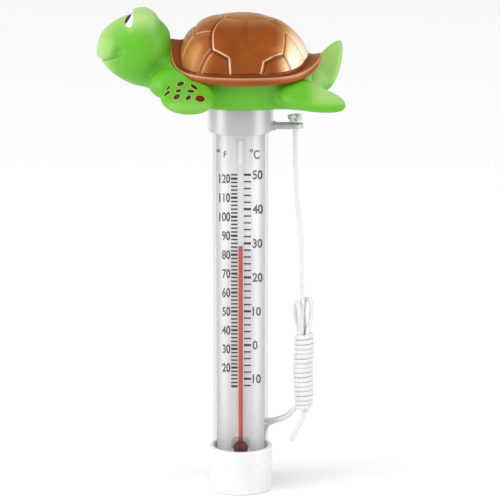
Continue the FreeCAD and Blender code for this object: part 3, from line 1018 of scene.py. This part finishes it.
# Seams on the dome as plan points on the +Y side. Those round the big side plates are strong.
STRONG_SEAMS = [
    [(-8.6, 5.0), (-14.0, 15.2), (-13.9, 20.6), (-6.4, 22.9)],
    [(13.4, 5.0), (21.7, 9.3), (20.8, 17.8), (12.1, 22.2)],
    [(-6.4, 22.9), (-6.0, 24.0)], [(12.1, 22.2), (11.4, 24.0)],
]
PLAIN_SEAMS = [
    [(-8.6, 5.0), (-8.6, -5.0)], [(13.4, 5.0), (13.4, -5.0)], [(-13.9, 20.6), (-20.5, 21.0)],
    [(20.8, 17.8), (25.5, 18.5)], [(-14.0, 15.2), (-22.2, 10.9), (-27.5, 10.5)],
    [(21.7, 9.3), (31.0, 9.5)], [(-22.2, 10.9), (-22.2, -10.9)],
]
FAINT_SEAMS = [
    [(-8.6, 5.0), (2.5, 9.8), (13.4, 5.0)], [(2.5, 9.8), (3.0, 21.4)],
    [(3.0, 21.4), (-6.4, 22.9)], [(3.0, 21.4), (12.1, 22.2)],
]
# Outline of the big side plate, along whose edges a cream highlight is painted.
SIDE_PLATE = [*STRONG_SEAMS[0], (-6.0, 24.0), (-6.0, 30.0), (11.4, 30.0), (11.4, 24.0),
              *STRONG_SEAMS[1][::-1]]


def dome_power(dx):
    """How square the dome is: fuller at the turtle's front than at its back."""
    return 2.35 - 0.25 * np.tanh(dx / 0.4)


def rim_low(angle):
    """Height of the rim's lower edge: low beside the legs, raised at the neck and the tail."""
    c = np.cos(angle)
    size = np.abs(c)
    return RIM_LOW_Z + np.where(c < 0, 9.5 * size ** 30 + 5.5 * size ** 5, 7.6 * size ** 5.7)


def rim_outline(angle):
    """Plan position of the rim's edge: squarer at the turtle's front than at its back."""
    c, s = np.cos(angle), np.sin(angle)
    n = np.where(c < 0, *RIM_POWERS)
    scale = 1 / squared(c, s, n)
    return RIM_X + RIM_HALF[0] * c * scale, RIM_HALF[1] * s * scale


def dome_foot(angle):
    """Height of the line where the dome meets its rim."""
    c = np.cos(angle)
    return 213.0 + np.where(c < 0, 13.5 * np.abs(c) ** 14, 6.5 * np.abs(c) ** 5.7)


def dome_outline(angle, reach):
    """Plan position on the dome at an angle, and at a share of its outline."""
    c, s = np.cos(angle), np.sin(angle)
    n = dome_power(c / (np.abs(c) + np.abs(s)))
    scale = reach / squared(c, s, n)
    length = np.where(c < 0, DOME_FRONT, DOME_REAR)
    return DOME_X + length * c * scale, DOME_HALF_W * s * scale


def dome_height(reach, angle):
    """Height of the dome at a share of its outline."""
    c, s = np.cos(angle), np.sin(angle)
    n = dome_power(c * reach / (np.abs(c) + np.abs(s)))
    return DOME_Z + DOME_H * np.maximum(1 - reach ** n, 0) ** (1 / n)


def seam_distance(u, v, lines):
    """Distance to the nearest seam, in the flat map of the dome."""
    nearest = np.full(u.shape, 1e3)
    for line in lines:
        for (ax, ay), (bx, by) in zip(line, line[1:]):
            dx, dy = bx - ax, by - ay
            t = np.clip(((u - ax) * dx + (v - ay) * dy) / (dx * dx + dy * dy), 0, 1)
            nearest = np.minimum(nearest, np.hypot(u - ax - t * dx, v - ay - t * dy))
    return nearest


def make_shell():
    """Dome, gutter and rim as one surface of rings round the apex, with its seams pressed in."""
    around = 420
    rings = 170
    angle = circle(around)[None, :]
    n = dome_power(np.cos(angle))
    last = (1 - ((dome_foot(angle) - DOME_Z) / DOME_H) ** n) ** (1 / n)
    # Rings are evenly spaced along the dome's curve, not on its plan.
    share = np.linspace(0.004, 1, rings)[:, None]
    reach = last * np.sin(share * math.pi / 2)
    x, y = dome_outline(angle, reach)
    z = dome_height(reach, angle)
    dome = np.stack([x, y, z], axis=-1)
    arc = np.cumsum(np.linalg.norm(np.diff(dome, axis=0, prepend=dome[:1]), axis=-1), axis=0)
    u, v = arc * np.cos(angle), arc * np.sin(angle)

    def flat(point):
        dx = (point[0] - DOME_X) / (DOME_FRONT if point[0] < DOME_X else DOME_REAR)
        dy = point[1] / DOME_HALF_W
        turn = math.atan2(dy, dx)
        wanted = squared(dx, dy, dome_power(dx))
        column = int(round(turn / (2 * math.pi) * around)) % around
        length = np.interp(wanted, reach[:, column], arc[:, column])
        return length * math.cos(turn), length * math.sin(turn)

    # The flat map is stretched round the foot of the dome, so the true gap is smaller there.
    squash = np.clip((np.hypot(x - DOME_X, y) + 4.0) / (arc + 4.0), 0.62, 1.0)

    def seam_gap(lines):
        mapped = [[flat((px, side * py)) for px, py in line]
                  for side in (-1, 1) for line in lines]
        return seam_distance(u, v, mapped) * squash

    strong, plain, faint = (seam_gap(lines) for lines in (STRONG_SEAMS, PLAIN_SEAMS, FAINT_SEAMS))
    nearest = np.minimum(np.minimum(strong, plain), faint)
    inside = inside_polygon(x, np.abs(y), SIDE_PLATE)
    round_ = np.roll(dome, -1, axis=1) - np.roll(dome, 1, axis=1)
    normal = unit(np.cross(np.gradient(dome, axis=0), round_))
    fade = smoothstep(1.0, 0.985, share)
    press = (-0.75 * bell(strong, 0.60) - 0.6 * bell(plain, 0.52) - 0.28 * bell(faint, 0.8)
             + 0.45 * smoothstep(0.0, 5.0, nearest) + 0.22 * inside * bell(strong - 1.25, 0.55))
    dome = dome + normal * (press * fade)[..., None]
    rows = [dome]
    # Painted shade along the seams, strongest at the strong ones.
    dark = 0.9 * bell(strong, 0.42) + 0.75 * bell(plain, 0.38) + 0.22 * bell(faint, 0.9)
    groove = [dark * fade]
    # Cream painted highlight just inside the strong seams and beside the plain ones.
    seam_highlight = inside * bell(strong - 0.95, 0.30) + 0.3 * bell(plain - 0.8, 0.3)
    ridge = [seam_highlight * fade]
    height = dome[..., 2]
    # Painted highlight: the dome's rear, crown and front are paler.
    rear = 1.1 * smoothstep(16.0, 26.0, x) * (0.5 + 0.5 * smoothstep(236.0, 216.0, height))
    crown = 0.2 * smoothstep(233.0, 238.5, height)
    front = 0.28 * smoothstep(-13.0, -23.0, x) * (0.35 + 0.5 * bell(height - 222.0, 7.0))
    shell_highlight = [(rear + crown + front) * fade]
    edge_x, edge_y = rim_outline(angle)
    inner = dome[-1][None]
    lift = np.array([0, 0, 1.0])
    lip_top = np.stack([edge_x, edge_y, rim_low(angle)], axis=-1) + lift * LIP_H
    shallow = (1 - 0.5 * np.abs(np.cos(angle)) ** 6)[..., None]
    for out, up in RIM_PROFILE:
        on_top = up > -1.3
        rise = lift * up * (shallow if on_top and out < 0.99 else 1)
        rows.append(inner + (lip_top - inner) * out + rise)
        # Painted shade in the gutter, and a slightly darker band across the rim's top.
        gutter = 0.8 * bell(out - 0.20, 0.13) + 0.15 * (0.1 < out < 0.75)
        groove.append(np.full((1, around), gutter * on_top))
        # Cream painted highlight along the lip's rounded top.
        ridge.append(np.full((1, around), 0.55 * bell(out - 0.95, 0.045) * (up > 0)))
        shell_highlight.append(np.zeros((1, around)))
    grid = np.concatenate(rows, axis=0)
    verts = np.vstack([grid.reshape(-1, 3), [DOME_X, 0, DOME_Z + DOME_H + 0.42]])
    faces = ring_faces(len(grid), around).tolist()
    apex = len(verts) - 1
    faces += [[apex, a, (a + 1) % around] for a in range(around)]
    shell = mesh_object("turtle_shell", verts, faces)
    for name, parts in (("groove", groove), ("ridge", ridge), ("shell_highlight", shell_highlight)):
        values = np.concatenate(parts, axis=0).reshape(-1)
        float_attribute(shell, name, np.append(np.clip(values, 0, 1), 0.0))
    dress(shell, make_bronze())
    return shell


def inside_polygon(x, y, outline):
    """1 inside a polygon and 0 outside it."""
    inside = np.zeros(x.shape, bool)
    for (ax, ay), (bx, by) in zip(outline, outline[1:] + outline[:1]):
        if ay == by:
            continue
        crosses = (ay > y) != (by > y)
        inside ^= crosses & (x < ax + (y - ay) * (bx - ax) / (by - ay))
    return inside.astype(float)


# ---- printed scale ----
ZERO_C_Z = 72.8
DEGREE_C = 1.718
INK_Y = -0.03
F_TICK = (-4.7, -1.5)
C_TICK = (1.5, 5.1)
F_THIN = 0.78
C_THIN = 0.72
THICK = 1.15
NUMBER_SIZE = 6.1
RING_Z = 170.7


def height_c(degrees):
    """Height of a Celsius temperature on the scale."""
    return ZERO_C_Z + DEGREE_C * degrees


def height_f(degrees):
    """Height of a Fahrenheit temperature on the scale."""
    return height_c((degrees - 32) / 1.8)


def on_card(x, z):
    """Points just in front of the card's face."""
    return np.stack([x, np.full(len(x), INK_Y), z], axis=1)


def text_mesh(words, size, squeeze, right=None, left=None, height=0.0):
    """Flat letters facing the reader, set to end at right or to start at left."""
    curve = bpy.data.curves.new("words", "FONT")
    curve.body = words
    curve.size = size
    curve.offset = 0.032 * size
    points, faces = drawn(curve)
    x, z = points[:, 0] * squeeze, points[:, 1]
    x = x - x.max() + right if right is not None else x - x.min() + left
    z = z - (z.max() + z.min()) / 2 + height
    return on_card(x, z), faces


def tick(x, z, thick):
    """One scale mark."""
    low, high = z - thick / 2, z + thick / 2
    return on_card([x[0], x[1], x[1], x[0]], [low, low, high, high]), [[0, 1, 2, 3]]


def ring_mark(x, z, outer, inner):
    """A small flat ring, for the degree sign."""
    steps = 24
    angle = circle(steps)
    rims = [on_card(x + r * np.cos(angle), z + r * np.sin(angle)) for r in (outer, inner)]
    return np.vstack(rims), ring_faces(2, steps)[:, [0, 3, 2, 1]].tolist()


def make_print(ink):
    """The two scales, their numbers and their unit signs, as one thin layer of ink."""
    marks = []
    for span, thin, height, scale in ((F_TICK, F_THIN, height_f, range(10, 124, 2)),
                                      (C_TICK, C_THIN, height_c, range(-12, 52, 2))):
        marks += [tick(span, height(n), thin if n % 10 else THICK) for n in scale]
    marks += [text_mesh(str(n), NUMBER_SIZE, 0.66, right=-5.1, height=height_f(n))
              for n in range(20, 130, 10)]
    marks += [text_mesh(str(abs(n)), NUMBER_SIZE, 0.80, left=5.9, height=height_c(n))
              for n in range(-10, 60, 10)]
    marks += [ring_mark(-10.8, RING_Z, 0.85, 0.36), ring_mark(5.3, RING_Z, 0.85, 0.36),
              text_mesh("F", 4.4, 0.7, right=-6.9, height=RING_Z - 1.8),
              text_mesh("C", 6.0, 0.7, left=6.4, height=RING_Z - 1.9)]
    layer = mesh_object("scale_print", *joined(marks), smooth=False)
    dress(layer, ink)
    return layer


# ---- spirit thread ----
THREAD_R = 1.1
THREAD_ROWS = 120
THREAD_SIDES = 32
THREAD_FOOT = 25.0


def make_thread(spirit):
    """The column of spirit, from inside the bulb's neck to the meniscus."""
    low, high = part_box("spirit_column")
    centre_y = (low[1] + high[1]) / 2 / MM
    top = high[2] / MM
    line = [(0, centre_y, z) for z in np.linspace(THREAD_FOOT, top + 0.01, THREAD_ROWS)]
    radii = np.full(len(line), THREAD_R)
    thread = mesh_object("spirit_thread", *tube_mesh(np.array(line), radii, THREAD_SIDES))
    dress(thread, spirit)
    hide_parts("spirit_column")
    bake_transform(thread)


# ---- everything together ----
add_camera()
fabric = make_cord_fabric()
cord, cord_line = make_cord(fabric)
knot = make_knot(fabric)
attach(cord, ROOT)
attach(knot, ROOT)
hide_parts("cord_lead", "cord_hank", "cord_bight", "cord_tail")
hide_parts("cord_knot")

body = make_turtle()
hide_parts("figure_body")
shell = make_shell()
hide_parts("figure_shell")
for piece in (body, shell, make_eye_mesh(-1), make_eye_mesh(1)):
    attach(piece, TURTLE)

ink = make_plain("scale_ink", (0.8,), (6, 6, 7), (14, 14, 15), Roughness=0.5)
scale_print = make_print(ink)
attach(scale_print, ROOT)
spirit = make_spirit()
make_thread(spirit)

for material, *nodes in (
        # The top cap is the same white plastic as the base cap, painted darker: painted shade
        # from the turtle above it.
        (make_white_plastic("top_cap_painted_shade", (176, 175, 178), 0.26), "top_cap"),
        (make_white_plastic("base_cap_plastic", (222, 222, 223), 0.24), "base_cap"),
        (make_white_plastic("inner_plastic", (222, 223, 224), 0.40), "top_holder", "figure_bush"),
        (make_plain("seal_silicone", (2.0,), (224, 225, 225), (214, 215, 216),
                    ((0.4,), 0.1, 0.1), Roughness=0.55), "base_seal", "top_seal"),
        (make_foam(), "bulb_cushion", "stem_tapes"),
        (make_steel("ballast_steel", (150, 150, 152)), "ballast_weight"),
        (make_steel("clip_steel", (190, 190, 192)), "spigot_clip"),
        (make_plain("scale_card_stock", (0.6, 5.0, 0.7), (212, 213, 214), (205, 206, 208),
                    ((0.6, 5.0, 0.7), 0.05, 0.05), Roughness=0.6), "scale_card"),
        (make_clear("tube_clear", (0.985,) * 3, (0.865, 0.865, 0.87), 0.6, 1.0, 0.30),
         "outer_tube"),
        (make_clear("stem_clear", (1.0,) * 3, (0.96,) * 3, 0.84, 0.35, 0.08),
         "thermometer_glass"),
        (spirit, "bulb_spirit", "spirit_meniscus")):
    for node in nodes:
        dress(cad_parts[node], material)

add_studio()
